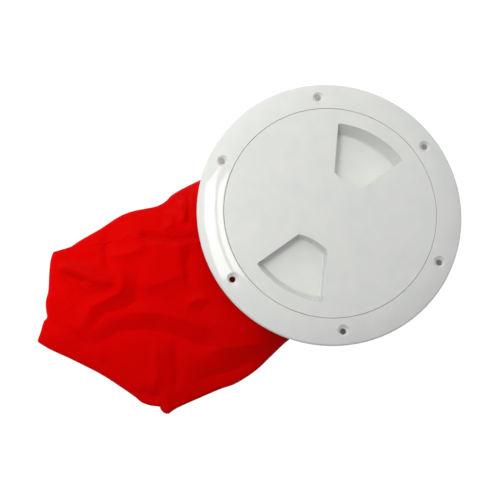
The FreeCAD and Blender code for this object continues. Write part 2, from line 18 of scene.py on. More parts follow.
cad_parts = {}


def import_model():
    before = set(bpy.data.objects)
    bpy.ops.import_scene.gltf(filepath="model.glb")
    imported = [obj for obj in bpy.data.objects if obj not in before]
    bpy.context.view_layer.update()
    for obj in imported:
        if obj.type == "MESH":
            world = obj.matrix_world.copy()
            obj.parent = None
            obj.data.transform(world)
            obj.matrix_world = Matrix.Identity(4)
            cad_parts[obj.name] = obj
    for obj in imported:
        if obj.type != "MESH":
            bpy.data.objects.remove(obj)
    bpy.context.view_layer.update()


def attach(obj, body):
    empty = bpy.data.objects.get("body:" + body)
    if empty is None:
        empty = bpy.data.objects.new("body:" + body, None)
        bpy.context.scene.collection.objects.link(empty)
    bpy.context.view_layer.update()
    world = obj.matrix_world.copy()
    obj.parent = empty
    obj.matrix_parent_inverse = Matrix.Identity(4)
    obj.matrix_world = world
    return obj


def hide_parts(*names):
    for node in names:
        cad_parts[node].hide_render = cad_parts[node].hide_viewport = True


Point = tuple[float, float]

log = logging.getLogger("deck_plate")
MM = 0.001
MERGE = 1e-6  # metres within which two vertices are one


class Corner(Enum):
    """How a corner of a turned profile is finished."""

    SHARP = 0.0
    SOFT = 0.3
    ROUND = 0.6


class Side(Enum):
    """One of the two finger pockets, by its direction from +X in degrees."""

    FIRST = 25.0
    SECOND = 205.0


class Below(Enum):
    """A kind of edge of a finger pocket that is rounded below its mouth."""

    UPRIGHT = "corner between two walls"
    OUTER = "edge between the outer wall and the floor"
    FLOOR = "edge between another wall and the floor"


# ---------------------------------------------------------------- modelling helpers


def deselect() -> None:
    """Deselect every object."""
    bpy.ops.object.select_all(action="DESELECT")


def pick(piece: bpy.types.Object) -> None:
    """Make one object the only selected one, and the active one."""
    deselect()
    piece.select_set(True)
    bpy.context.view_layer.objects.active = piece


def settle(piece: bpy.types.Object) -> None:
    """Put an object's place into its mesh, so that the object sits at the origin."""
    pick(piece)
    bpy.ops.object.transform_apply(location=True, rotation=True, scale=True)


def close_mesh() -> None:
    """Merge the doubles of the mesh in edit mode, turn its faces outward and leave edit mode."""
    bpy.ops.mesh.select_all(action="SELECT")
    bpy.ops.mesh.remove_doubles(threshold=MERGE)
    bpy.ops.mesh.normals_make_consistent(inside=False)
    bpy.ops.object.mode_set(mode="OBJECT")


def smooth(piece: bpy.types.Object, degrees: float = 32.0) -> None:
    """Shade a piece smooth, with hard edges where its faces turn by more than an angle."""
    pick(piece)
    bpy.ops.object.shade_smooth_by_angle(angle=math.radians(degrees))


def apply_modifier(piece: bpy.types.Object, kind: str, **settings: object) -> None:
    """Add a modifier with these settings to a piece, and apply it.

    Args:
        piece: The object to change.
        kind: Blender's name of the modifier type.
        **settings: Values for the modifier's properties.
    """
    pick(piece)
    modifier = piece.modifiers.new(kind.title(), kind)
    for name, setting in settings.items():
        setattr(modifier, name, setting)
    bpy.ops.object.modifier_apply(modifier=modifier.name)


def arc(start: Point, end: Point, radius: float, count: int) -> list[Point]:
    """Sample an arc that bulges to the right of the way from its start to its end.

    Args:
        start: First point, as radius and height.
        end: Last point.
        radius: Radius of the arc.
        count: Number of steps along it.

    Returns:
        The points of the arc, with both ends.
    """
    first, last = np.array(start), np.array(end)
    chord = last - first
    half = np.linalg.norm(chord) / 2
    left = np.array((-chord[1], chord[0])) / (2 * half)
    centre = (first + last) / 2 + left * math.sqrt(max(radius**2 - half**2, 0.0))
    begin = math.atan2(*(first - centre)[::-1])
    sweep = 2 * math.asin(min(half / radius, 1.0))
    turns = [begin + sweep * step / count for step in range(count + 1)]
    return [tuple(centre + radius * np.array((math.cos(turn), math.sin(turn)))) for turn in turns]


def soften(corners: list[tuple[float, float, Corner]], closed: bool) -> list[Point]:
    """Round the corners of a profile as a moulding has them.

    Args:
        corners: Radius, height and finish of each corner.
        closed: Whether the last corner joins the first one.

    Returns:
        The points of the rounded profile.
    """
    path: list[Point] = []
    last = len(corners) - 1
    for index, (radius, height, finish) in enumerate(corners):
        here = np.array((radius, height))
        if finish is Corner.SHARP or (not closed and index in (0, last)):
            path.append((radius, height))
            continue
        before = np.array(corners[index - 1][:2]) - here
        after = np.array(corners[(index + 1) % len(corners)][:2]) - here
        reach = min(finish.value, np.linalg.norm(before) / 2, np.linalg.norm(after) / 2)
        enter = here + before / np.linalg.norm(before) * reach
        leave = here + after / np.linalg.norm(after) * reach
        for share in (0.0, 0.25, 0.5, 0.75, 1.0):
            place = enter * (1 - share) ** 2 + here * 2 * share * (1 - share) + leave * share**2
            path.append((float(place[0]), float(place[1])))
    return path


def divide(path: list[Point], longest: float) -> list[Point]:
    """Divide the runs of a path so that none is longer than a length."""
    divided = [path[0]]
    for start, end in zip(path, path[1:]):
        parts = max(1, math.ceil(math.dist(start, end) / longest))
        for part in range(1, parts + 1):
            share = part / parts
            divided.append((start[0] + (end[0] - start[0]) * share, start[1] + (end[1] - start[1]) * share))
    return divided


def turn(name: str, path: list[Point], steps: int) -> bpy.types.Object:
    """Turn a profile about the Z axis, as on a lathe.

    Args:
        name: Name of the new object.
        path: Profile as radius and height in millimetres. It ends where it starts, or on the axis.
        steps: Number of steps in the full turn.

    Returns:
        The turned object, closed and with its faces outward.
    """
    deselect()
    bpy.ops.mesh.primitive_plane_add(size=MM, location=(path[0][0] * MM, 0, path[0][1] * MM))
    piece = bpy.context.object
    piece.name = piece.data.name = name
    bpy.ops.object.mode_set(mode="EDIT")
    bpy.ops.mesh.select_mode(type="VERT")
    bpy.ops.mesh.select_all(action="SELECT")
    bpy.ops.mesh.merge(type="CENTER")
    for start, end in zip(path, path[1:]):
        step = ((end[0] - start[0]) * MM, 0, (end[1] - start[1]) * MM)
        bpy.ops.mesh.extrude_region_move(TRANSFORM_OT_translate={"value": step})
    bpy.ops.mesh.select_all(action="SELECT")
    bpy.ops.mesh.remove_doubles(threshold=MERGE / 10)
    bpy.ops.mesh.spin(steps=steps, angle=math.radians(360.0), center=(0, 0, 0), axis=(0, 0, -1))
    close_mesh()
    settle(piece)
    return piece


def true_normals(piece: bpy.types.Object) -> None:
    """Let large flat faces keep their own normals beside small roundings."""
    apply_modifier(piece, "WEIGHTED_NORMAL", mode="FACE_AREA", weight=100, keep_sharp=True)


def carve(piece: bpy.types.Object, tool: bpy.types.Object, operation: str) -> None:
    """Apply an exact boolean of a tool to a piece, and remove the tool."""
    apply_modifier(piece, "BOOLEAN", object=tool, operation=operation, solver="EXACT")
    bpy.data.objects.remove(tool)


def join(piece: bpy.types.Object, *others: bpy.types.Object) -> None:
    """Join other objects into a piece."""
    pick(piece)
    for other in others:
        other.select_set(True)
    bpy.ops.object.join()


def round_chosen(
    piece: bpy.types.Object,
    sharpness: float,
    chosen: Callable[[list[Vector]], bool],
    width: float,
    segments: int,
) -> None:
    """Round those sharp edges of a piece that a test chooses.

    Args:
        piece: The object to change.
        sharpness: Angle in degrees from which an edge is sharp.
        chosen: Test of an edge by the places of its two ends.
        width: Width of the rounding in millimetres.
        segments: Number of faces across it.
    """
    pick(piece)
    bpy.ops.object.mode_set(mode="EDIT")
    bpy.ops.mesh.select_all(action="DESELECT")
    bpy.ops.mesh.select_mode(type="EDGE")
    bpy.ops.mesh.edges_select_sharp(sharpness=math.radians(sharpness))
    bpy.ops.object.mode_set(mode="OBJECT")
    for edge in piece.data.edges:
        edge.select = edge.select and chosen([piece.data.vertices[number].co for number in edge.vertices])
    bpy.ops.object.mode_set(mode="EDIT")
    bpy.ops.mesh.bevel(offset=width * MM, segments=segments, affect="EDGES", clamp_overlap=True)
    bpy.ops.object.mode_set(mode="OBJECT")


def ridge(
    name: str, section: list[Point], low: float, lead: float, turns: float, steps: int
) -> bpy.types.Object:
    """Sweep a screw ridge, right-handed, with a closed end at both ends.

    Args:
        name: Name of the new object.
        section: Corners of the section as radius and height above its middle, in millimetres.
        low: Height of the middle of the lowest turn, in millimetres.
        lead: Rise in one turn, in millimetres.
        turns: Number of turns.
        steps: Steps in one turn.

    Returns:
        The ridge as one closed mesh.
    """
    deselect()
    bpy.ops.mesh.primitive_plane_add(size=MM)
    piece = bpy.context.object
    piece.name = piece.data.name = name
    for vertex, (radius, rise) in zip((0, 1, 3, 2), section):
        piece.data.vertices[vertex].co = (radius * MM, 0, (low + rise) * MM)
    bpy.ops.object.mode_set(mode="EDIT")
    bpy.ops.mesh.select_all(action="SELECT")
    bpy.ops.mesh.delete(type="ONLY_FACE")
    bpy.ops.object.mode_set(mode="OBJECT")
    apply_modifier(
        piece, "SCREW", angle=2 * math.pi * turns, screw_offset=lead * turns * MM, axis="Z",
        steps=round(steps * turns), render_steps=round(steps * turns), use_smooth_shade=False,
    )
    bpy.ops.object.mode_set(mode="EDIT")
    bpy.ops.mesh.select_all(action="SELECT")
    bpy.ops.mesh.remove_doubles(threshold=MERGE)
    bpy.ops.mesh.fill_holes(sides=0)
    close_mesh()
    return piece


# ---------------------------------------------------------------- finishes


def linear(code: str) -> tuple[float, float, float, float]:
    """Turn an sRGB hex colour into Blender's linear colour."""
    parts = [int(code[place : place + 2], 16) / 255 for place in (1, 3, 5)]
    red, green, blue = (
        part / 12.92 if part <= 0.04045 else ((part + 0.055) / 1.055) ** 2.4 for part in parts
    )
    return red, green, blue, 1.0


def add_node(
    tree: bpy.types.NodeTree, kind: str, settings: dict[str, object], **inputs: object
) -> bpy.types.Node:
    """Add a node with its settings and inputs.

    Args:
        tree: Node tree that takes the node.
        kind: Blender's name of the node type.
        settings: Values for the node's own properties.
        **inputs: A value or a (node, output name) link for each input, by name, with _ for a space.

    Returns:
        The new node.
    """
    node = tree.nodes.new(kind)
    for name, setting in settings.items():
        setattr(node, name, setting)
    for name, given in inputs.items():
        label = name.replace("_", " ")
        socket = node.inputs[int(name[1:])] if name[0] == "i" and name[1:].isdigit() else node.inputs[label]
        if isinstance(given, tuple) and isinstance(given[0], bpy.types.Node):
            tree.links.new(given[0].outputs[given[1]], socket)
        else:
            socket.default_value = given
    return node


def new_material(name: str) -> tuple[bpy.types.Material, bpy.types.NodeTree, bpy.types.Node]:
    """Make an empty node material.

    Args:
        name: Name of the finish.

    Returns:
        The material, its node tree and its Principled shader.
    """
    material = bpy.data.materials.new(name)
    material.use_nodes = True
    tree = material.node_tree
    tree.nodes.clear()
    shader = add_node(tree, "ShaderNodeBsdfPrincipled", {})
    add_node(tree, "ShaderNodeOutputMaterial", {}, Surface=(shader, "BSDF"))
    return material, tree, shader


@dataclass(frozen=True)
class MouldedPlastic:
    """Injection-moulded ASA: opaque, glossy, with the faint waviness of a large flat moulding."""

    name: str = "moulded_asa_gloss_white"
    colour: str = "#E6E7E2"
    shade: str = "#DCDEDA"
    roughness: float = 0.06
    ior: float = 1.5
    wave_mm: float = 11.0
    wave_rise_mm: float = 0.09
    grain_mm: float = 1.6
    grain_rise_mm: float = 0.0012

    def make(self) -> bpy.types.Material:
        """Return the material."""
        material, tree, shader = new_material(self.name)
        place = add_node(tree, "ShaderNodeTexCoord", {})
        # Sink marks and flow of the moulding, seen only where a lamp is mirrored
        waves = add_node(tree, "ShaderNodeTexNoise", {}, Vector=(place, "Object"),
                         Scale=1 / (self.wave_mm * MM), Detail=1.0, Roughness=0.4)
        grain = add_node(tree, "ShaderNodeTexNoise", {}, Vector=(place, "Object"),
                         Scale=1 / (self.grain_mm * MM), Detail=2.0, Roughness=0.5)
        soft = add_node(tree, "ShaderNodeBump", {}, Strength=1.0, Distance=self.wave_rise_mm * MM,
                        Height=(waves, "Fac"))
        fine = add_node(tree, "ShaderNodeBump", {}, Strength=1.0, Distance=self.grain_rise_mm * MM,
                        Height=(grain, "Fac"), Normal=(soft, "Normal"))
        tone = add_node(tree, "ShaderNodeMix", {"data_type": "RGBA"}, i0=(waves, "Fac"),
                        i6=linear(self.colour), i7=linear(self.shade))
        gloss = add_node(tree, "ShaderNodeMapRange", {}, Value=(grain, "Fac"),
                         To_Min=self.roughness - 0.015, To_Max=self.roughness + 0.02)
        tree.links.new(tone.outputs[2], shader.inputs["Base Color"])
        tree.links.new(gloss.outputs["Result"], shader.inputs["Roughness"])
        tree.links.new(fine.outputs["Normal"], shader.inputs["Normal"])
        shader.inputs["IOR"].default_value = self.ior
        return material


@dataclass(frozen=True)
class SealRubber:
    """Moulded nitrile rubber: near black, dull, with a faint grease film."""

    name: str = "nitrile_rubber_black"
    colour: str = "#1B1B1C"
    bloom: str = "#2A2A2B"
    roughness: float = 0.55
    grain_mm: float = 0.9

    def make(self) -> bpy.types.Material:
        """Return the material."""
        material, tree, shader = new_material(self.name)
        place = add_node(tree, "ShaderNodeTexCoord", {})
        grain = add_node(tree, "ShaderNodeTexNoise", {}, Vector=(place, "Object"),
                         Scale=1 / (self.grain_mm * MM), Detail=3.0)
        tone = add_node(tree, "ShaderNodeMix", {"data_type": "RGBA"}, i0=(grain, "Fac"),
                        i6=linear(self.colour), i7=linear(self.bloom))
        bump = add_node(tree, "ShaderNodeBump", {}, Strength=0.4, Distance=0.00008, Height=(grain, "Fac"))
        tree.links.new(tone.outputs[2], shader.inputs["Base Color"])
        tree.links.new(bump.outputs["Normal"], shader.inputs["Normal"])
        shader.inputs["Roughness"].default_value = self.roughness
        return material


@dataclass(frozen=True)
class NylonCloth:
    """Coated nylon taffeta: bright red, plain woven, with a soft sheen and fine crinkles.

    The real threads are about 0.25 mm apart. They are drawn at pitch_mm, as coarse as they need
    to be to show.
    """

    name: str = "nylon_taffeta_red"
    lit: str = "#D40302"
    deep: str = "#C60101"
    glint: str = "#FF2010"
    roughness: float = 0.6
    specular: float = 0.15
    pitch_mm: float = 0.8
    crinkle_mm: float = 7.0
    crinkle_rise_mm: float = 0.15

    def make(self) -> bpy.types.Material:
        """Return the material."""
        material, tree, shader = new_material(self.name)
        flat = add_node(tree, "ShaderNodeUVMap", {"uv_map": "cloth"})
        place = add_node(tree, "ShaderNodeTexCoord", {})
        threads = 1 / (self.pitch_mm * MM)
        # One wave texture draws a band every 2*pi/20 of its scaled coordinate
        warp, weft = (
            add_node(tree, "ShaderNodeTexWave", {"wave_type": "BANDS", "bands_direction": axis},
                     Vector=(flat, "UV"), Scale=threads * math.pi / 10)
            for axis in ("X", "Y")
        )
        weave = add_node(tree, "ShaderNodeMath", {"operation": "MAXIMUM"}, i0=(warp, "Fac"),
                         i1=(weft, "Fac"))
        crinkle = add_node(tree, "ShaderNodeTexNoise", {"noise_type": "RIDGED_MULTIFRACTAL"},
                           Vector=(place, "Object"), Scale=1 / (self.crinkle_mm * MM), Detail=3.0,
                           Roughness=0.45, Distortion=0.6)
        dye = add_node(tree, "ShaderNodeTexNoise", {}, Vector=(place, "Object"), Scale=28.0, Detail=3.0)
        folds = add_node(tree, "ShaderNodeBump", {}, Strength=0.55, Distance=self.crinkle_rise_mm * MM,
                         Height=(crinkle, "Fac"))
        cloth = add_node(tree, "ShaderNodeBump", {}, Strength=0.35, Distance=0.0001, Height=(weave, "Value"),
                         Normal=(folds, "Normal"))
        tone = add_node(tree, "ShaderNodeMix", {"data_type": "RGBA"}, i0=(dye, "Fac"), i6=linear(self.lit),
                        i7=linear(self.deep))
        tree.links.new(tone.outputs[2], shader.inputs["Base Color"])
        tree.links.new(cloth.outputs["Normal"], shader.inputs["Normal"])
        shader.inputs["Roughness"].default_value = self.roughness
        shader.inputs["Specular IOR Level"].default_value = self.specular
        shader.inputs["Specular Tint"].default_value = linear(self.glint)
        return material


@dataclass(frozen=True)
class WovenElastic:
    """Woven elastic tape: dull red yarn over rubber, ribbed along its length."""

    name: str = "woven_elastic_red"
    yarn: str = "#A80C0A"
    gap: str = "#6E0605"
    roughness: float = 0.8
    rib_mm: float = 1.0

    def make(self) -> bpy.types.Material:
        """Return the material."""
        material, tree, shader = new_material(self.name)
        flat = add_node(tree, "ShaderNodeUVMap", {"uv_map": "tape"})
        ribs = add_node(tree, "ShaderNodeTexWave", {"wave_type": "BANDS", "bands_direction": "X"},
                        Vector=(flat, "UV"), Scale=math.pi / 10 / (self.rib_mm * MM), Distortion=0.4)
        tone = add_node(tree, "ShaderNodeMix", {"data_type": "RGBA"}, i0=(ribs, "Fac"), i6=linear(self.gap),
                        i7=linear(self.yarn))
        bump = add_node(tree, "ShaderNodeBump", {}, Strength=0.6, Distance=0.0002, Height=(ribs, "Fac"))
        tree.links.new(tone.outputs[2], shader.inputs["Base Color"])
        tree.links.new(bump.outputs["Normal"], shader.inputs["Normal"])
        shader.inputs["Roughness"].default_value = self.roughness
        return material


def dress(piece: bpy.types.Object, material: bpy.types.Material) -> None:
    """Give a piece its only material."""
    piece.data.materials.clear()
    piece.data.materials.append(material)


# ---------------------------------------------------------------- the plate


@dataclass
class DeckRing:
    """Flanged ring: domed flange, recess, stepped collar, thread and countersunk holes."""

    flange: float = 101.5
    recess: float = 81.25
    bore: float = 78.4
    spigot: float = 81.6
    bead: float = 82.3
    bead_height: float = 1.7
    bead_foot: float = 2.4
    shoulder: float = 84.3
    shoulder_base: float = -4.0
    rise: float = 4.8
    ledge: float = -0.6
    depth: float = -24.0
    edge: float = 0.8
    edge_round: float = 1.9
    edge_slope: float = 13.0
    dome: float = 105.0
    rim_round: float = 0.3
    hole_circle: float = 91.0
    hole: float = 2.3
    hole_land: float = 1.9
    hole_count: int = 6
    mouth_round: float = 0.18
    thread_root: float = 78.7
    thread_foot: float = 1.5
    thread_crest: float = 76.2
    thread_top: float = 0.9
    thread_low: float = -13.4
    thread_lead: float = 6.0
    thread_turns: float = 1.75
    thread_steps: int = 120
    steps: int = 288

    def profile(self) -> list[Point]:
        """Return the closed profile of the ring, with its dome and its roundings."""
        slope = math.radians(self.edge_slope)
        crest = (self.flange - self.edge_round * (1 - math.sin(slope)),
                 self.edge + self.edge_round * math.cos(slope))
        top = arc((self.flange, self.edge), crest, self.edge_round, 8)
        top += divide(arc(crest, (self.recess + self.rim_round, self.rise), self.dome, 12)[1:], 1.5)
        top += arc((self.recess + self.rim_round, self.rise), (self.recess, self.rise - self.rim_round),
                   self.rim_round, 4)[1:]
        rest = soften([
            (self.recess, self.rise - self.rim_round, Corner.SHARP),
            (self.recess, self.ledge, Corner.SOFT),
            (self.bore, self.ledge, Corner.ROUND),
            (self.bore, self.depth, Corner.SOFT),
            (self.bead, self.depth, Corner.SOFT),
            (self.bead, self.depth + self.bead_height, Corner.SOFT),
            (self.spigot, self.depth + self.bead_foot, Corner.SOFT),
            (self.spigot, self.shoulder_base - self.shoulder + self.spigot, Corner.ROUND),
            (self.shoulder, self.shoulder_base, Corner.SOFT),
            (self.shoulder, 0.0, Corner.ROUND),
            (self.flange, 0.0, Corner.SOFT),
            (self.flange, self.edge, Corner.SHARP),
        ], closed=False)
        return divide(top + rest[1:], 3.0)

    def cutter(self, number: int) -> bpy.types.Object:
        """Return the tool that cuts one countersunk hole, in place."""
        sink = 6.0
        tool = turn(f"hole_tool_{number}", [
            (0.0, -3.0), (self.hole, -3.0), (self.hole, self.hole_land - 0.3),
            (self.hole + 0.12, self.hole_land + 0.05), (self.hole + 0.4, self.hole_land + 0.4),
            (self.hole + sink, self.hole_land + sink), (0.0, self.hole_land + sink),
        ], 64)
        bearing = 2 * math.pi * number / self.hole_count
        circle = self.hole_circle * MM
        tool.location = (circle * math.cos(bearing), circle * math.sin(bearing), 0)
        settle(tool)
        return tool

    def at_mouth(self, ends: list[Vector]) -> bool:
        """Return whether an edge with these ends lies on the mouth of a countersink."""
        step = 2 * math.pi / self.hole_count
        circle = self.hole_circle * MM
        spread = []
        for end in ends:
            bearing = round(math.atan2(end.y, end.x) / step) * step
            centre = Vector((circle * math.cos(bearing), circle * math.sin(bearing)))
            spread.append((end.xy - centre).length)
        return max(spread) < 6 * MM and min(end.z for end in ends) > (self.hole_land + 1.0) * MM

    def build(self, finish: MouldedPlastic) -> bpy.types.Object:
        """Build the ring and put it on its body.

        Args:
            finish: Finish of the moulding.

        Returns:
            The finished ring.
        """
        path = self.profile()
        piece = turn("ring_moulding", path + path[:1], self.steps)
        for number in range(self.hole_count):
            carve(piece, self.cutter(number), "DIFFERENCE")
        round_chosen(piece, 20, self.at_mouth, self.mouth_round, 2)
        section = [(self.thread_root, -self.thread_foot), (self.thread_crest, -self.thread_top),
                   (self.thread_crest, self.thread_top), (self.thread_root, self.thread_foot)]
        thread = ridge("ring_ridge", section, self.thread_low, self.thread_lead, self.thread_turns,
                       self.thread_steps)
        join(piece, thread)
        smooth(piece)
        true_normals(piece)
        dress(piece, finish.make())
        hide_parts("deck_ring")
        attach(piece, "ring")
        return piece


@dataclass
class ScrewLid:
    """Flush lid: plate, neck, threaded skirt and two fan-shaped finger pockets."""

    edge: float = 81.0
    rise: float = 4.8
    under: float = 2.4
    neck: float = 77.8
    neck_base: float = -1.3
    skirt: float = 75.8
    skirt_wall: float = 2.6
    skirt_base: float = -12.4
    rim_round: float = 0.3
    pocket_outer: float = 69.7
    pocket_inner: float = 30.4
    pocket_end: float = 44.0
    pocket_half: float = 24.3
    pocket_floor: float = -7.2
    pocket_lean: float = 5.0
    pocket_draft: float = 0.6
    pocket_wall: float = 2.0
    pocket_round: float = 1.3
    pocket_scoop: float = 4.5
    mouth_round: float = 0.5
    corner_round: float = 1.5
    far_steps: int = 32
    near_steps: int = 18
    thread_root: float = 75.5
    thread_foot: float = 1.3
    thread_crest: float = 78.0
    thread_top: float = 0.7
    thread_low: float = -10.4
    thread_lead: float = 6.0
    thread_turns: float = 1.25
    thread_steps: int = 120
    steps: int = 288

    def profile(self) -> list[Point]:
        """Return the profile of the lid, from the axis out and back to the axis."""
        inside = self.skirt - self.skirt_wall
        edge = arc((self.edge, self.rise - self.rim_round), (self.edge - self.rim_round, self.rise),
                   self.rim_round, 5)
        corners = soften([
            (0.0, self.under, Corner.SHARP),
            (inside, self.under, Corner.ROUND),
            (inside, self.skirt_base, Corner.SOFT),
            (self.skirt, self.skirt_base, Corner.SOFT),
            (self.skirt, self.neck_base, Corner.SOFT),
            (self.neck, self.neck_base, Corner.SOFT),
            (self.neck, self.under, Corner.SOFT),
            (self.edge, self.under, Corner.SOFT),
            (self.edge, self.rise - self.rim_round, Corner.SHARP),
        ], closed=False)
        return divide(corners + edge[1:] + [(0.0, self.rise)], 6.0)

    def fan(self, grow: float, height: float) -> list[Point]:
        """Return the plan of a finger pocket at one height, about +X.

        Args:
            grow: How far the plan lies outside the hollow, in millimetres.
            height: Height of the plan.

        Returns:
            The corners of the plan, counter-clockwise from the outer arc.
        """
        share = (self.rise - height) / (self.rise - self.pocket_floor)
        inner = self.pocket_inner + self.pocket_draft * share - grow
        outer = self.pocket_outer - self.pocket_lean * share + grow
        half = math.radians(self.pocket_half)
        out = half + math.asin((grow - self.pocket_draft * share) / outer)
        near = half + math.asin((grow - self.pocket_draft * share) / inner)
        far_arc = [(outer * math.cos(turned), outer * math.sin(turned))
                   for turned in np.linspace(-out, out, self.far_steps + 1)]
        across, up = inner * math.cos(near), inner * math.sin(near)
        return far_arc + arc((across, up), (across, -up), self.pocket_end, self.near_steps)

    def hollow(self, name: str, side: Side, grow: float, top: float, floor: float) -> bpy.types.Object:
        """Return a fan-shaped block with drafted walls and rounded edges below.

        Args:
            name: Name of the block.
            side: The pocket that it belongs to.
            grow: How much wider than the hollow it is, in millimetres.
            top: Height of its top.
            floor: Height of its floor.

        Returns:
            The block, in place.
        """
        upper, lower = np.array(self.fan(grow, top)), np.array(self.fan(grow, floor))
        deselect()
        bpy.ops.mesh.primitive_circle_add(vertices=len(upper), radius=MM, fill_type="NGON")
        block = bpy.context.object
        block.name = block.data.name = name
        for vertex, (across, up) in zip(block.data.vertices, upper):
            vertex.co = (across * MM, up * MM, top * MM)
        bpy.ops.object.mode_set(mode="EDIT")
        bpy.ops.mesh.select_mode(type="FACE")
        bpy.ops.mesh.select_all(action="SELECT")
        bpy.ops.mesh.extrude_region_move(TRANSFORM_OT_translate={"value": (0, 0, (floor - top) * MM)})
        bpy.ops.object.mode_set(mode="OBJECT")
        for vertex in block.data.vertices:
            if vertex.co.z < (top + floor) / 2 * MM:
                number = np.argmin(np.hypot(*(upper - np.array(vertex.co.xy) / MM).T))
                vertex.co = (lower[number][0] * MM, lower[number][1] * MM, floor * MM)
        block.rotation_euler = (0, 0, math.radians(side.value))
        settle(block)
        self.round_edges(block, floor, Below.UPRIGHT, radius=self.corner_round + grow)
        self.round_edges(block, floor, Below.OUTER, radius=self.pocket_scoop + grow)
        self.round_edges(block, floor, Below.FLOOR, radius=self.pocket_round + grow)
        pick(block)
        bpy.ops.object.mode_set(mode="EDIT")
        close_mesh()
        return block

    def round_edges(self, block: bpy.types.Object, floor: float, chosen: Below, radius: float) -> None:
        """Round one kind of edge of a pocket block.

        Args:
            block: The block to round.
            floor: Height of its floor in millimetres.
            chosen: The kind of edge.
            radius: Radius of the rounding in millimetres.
        """
        pick(block)
        bpy.ops.object.mode_set(mode="EDIT")
        bpy.ops.mesh.select_mode(type="EDGE")
        bpy.ops.mesh.select_all(action="DESELECT")
        bpy.ops.mesh.edges_select_sharp(sharpness=math.radians(35 if chosen is Below.UPRIGHT else 45))
        bpy.ops.object.mode_set(mode="OBJECT")
        vertices = block.data.vertices
        outer = max(vertex.co.xy.length for vertex in vertices if vertex.co.z < (floor + 0.01) * MM)
        for edge in block.data.edges:
            ends = [vertices[number].co for number in edge.vertices]
            low, high = sorted(end.z for end in ends)
            at_floor = high < (floor + 0.01) * MM
            at_outer = at_floor and min(end.xy.length for end in ends) > outer - 0.5 * MM
            upright = high - low > 2 * MM
            kinds = {Below.UPRIGHT: upright, Below.OUTER: at_outer, Below.FLOOR: at_floor}
            edge.select = edge.select and kinds[chosen]
        bpy.ops.object.mode_set(mode="EDIT")
        bpy.ops.mesh.bevel(offset=radius * MM, segments=5 if chosen is Below.UPRIGHT else 8, affect="EDGES",
                           clamp_overlap=True)
        bpy.ops.object.mode_set(mode="OBJECT")

    def at_mouth(self, ends: list[Vector]) -> bool:
        """Return whether an edge with these ends runs round the mouth of a pocket."""
        level = min(end.z for end in ends) > (self.rise - 0.01) * MM
        return level and max(end.xy.length for end in ends) < (self.pocket_outer + 0.5) * MM

    def build(self, finish: MouldedPlastic) -> bpy.types.Object:
        """Build the lid and put it on its body.

        Args:
            finish: Finish of the moulding.

        Returns:
            The finished lid.
        """
        piece = turn("lid_moulding", self.profile(), self.steps)
        for side in Side:
            shell = self.hollow(f"{side.name.lower()}_shell", side, self.pocket_wall, self.rise - 1.0,
                                self.pocket_floor - self.pocket_wall)
            carve(piece, shell, "UNION")
        for side in Side:
            hollow = self.hollow(f"{side.name.lower()}_hollow", side, 0.0, self.rise + 1.0,
                                 self.pocket_floor)
            carve(piece, hollow, "DIFFERENCE")
        round_chosen(piece, 40, self.at_mouth, self.mouth_round, 3)
        section = [(self.thread_root, -self.thread_foot), (self.thread_crest, -self.thread_top),
                   (self.thread_crest, self.thread_top), (self.thread_root, self.thread_foot)]
        thread = ridge("lid_ridge", section, self.thread_low, self.thread_lead, self.thread_turns,
                       self.thread_steps)
        join(piece, thread)
        smooth(piece)
        true_normals(piece)
        dress(piece, finish.make())
        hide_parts("screw_lid")
        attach(piece, "lid")
        return piece


@dataclass
class LidSeal:
    """Rubber ring between the lid and the ledge of the ring, round in section."""

    inside: float = 78.1
    width: float = 2.4
    middle: float = 0.9
    steps: int = 192

    def build(self, finish: SealRubber) -> bpy.types.Object:
        """Build the seal, put it on its body and return it."""
        half = self.width / 2
        path = [
            (self.inside + half + half * math.cos(turned), self.middle + half * math.sin(turned))
            for turned in np.linspace(0, 2 * math.pi, 17)
        ]
        path[-1] = path[0]
        piece = turn("seal_ring", path, self.steps)
        smooth(piece, 60)
        dress(piece, finish.make())
        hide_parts("lid_seal")
        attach(piece, "seal")
        return piece


# ---------------------------------------------------------------- the bag

# Outline of the bag where it lies flat, seen from above, from the collar round its far end
BAG_OUTLINE: list[Point] = [
    (-38.2, 75.6), (-50.5, 77.8), (-62.8, 81.0), (-78.6, 83.2), (-89.4, 83.8), (-96.0, 82.4),
    (-103.2, 82.8), (-109.8, 85.2), (-118.2, 88.9), (-125.9, 91.5), (-134.8, 92.8), (-150.6, 92.8),
    (-167.2, 93.9), (-175.1, 93.8), (-179.6, 94.3), (-187.2, 97.9), (-190.3, 97.5), (-195.4, 93.2),
    (-201.4, 85.6), (-208.9, 75.2), (-215.0, 69.2), (-218.5, 63.3), (-220.4, 58.7), (-220.8, 58.1),
    (-224.0, 57.4), (-226.9, 55.3), (-230.9, 51.7), (-236.1, 47.8), (-236.5, 47.2), (-236.4, 46.5),
    (-234.8, 42.5), (-232.2, 37.0), (-228.0, 29.8), (-223.6, 22.5), (-211.6, 0.4), (-204.4, -16.5),
    (-199.6, -29.2), (-197.8, -35.4), (-194.0, -40.8), (-190.3, -44.3), (-188.6, -45.9), (-189.0, -48.6),
    (-188.6, -51.2), (-187.1, -53.3), (-185.0, -54.1), (-180.8, -53.9), (-176.7, -54.4), (-164.8, -56.8),
    (-144.7, -61.1), (-134.0, -64.2), (-122.7, -65.4), (-111.0, -65.2), (-98.8, -63.4), (-80.9, -61.0),
    (-66.0, -61.5), (-48.0, -68.3),
]


@dataclass(frozen=True)
class Fold:
    """A fold of the cloth along a bent line, seen from above, in millimetres."""

    line: tuple[Point, ...]
    rise: float
    width: float


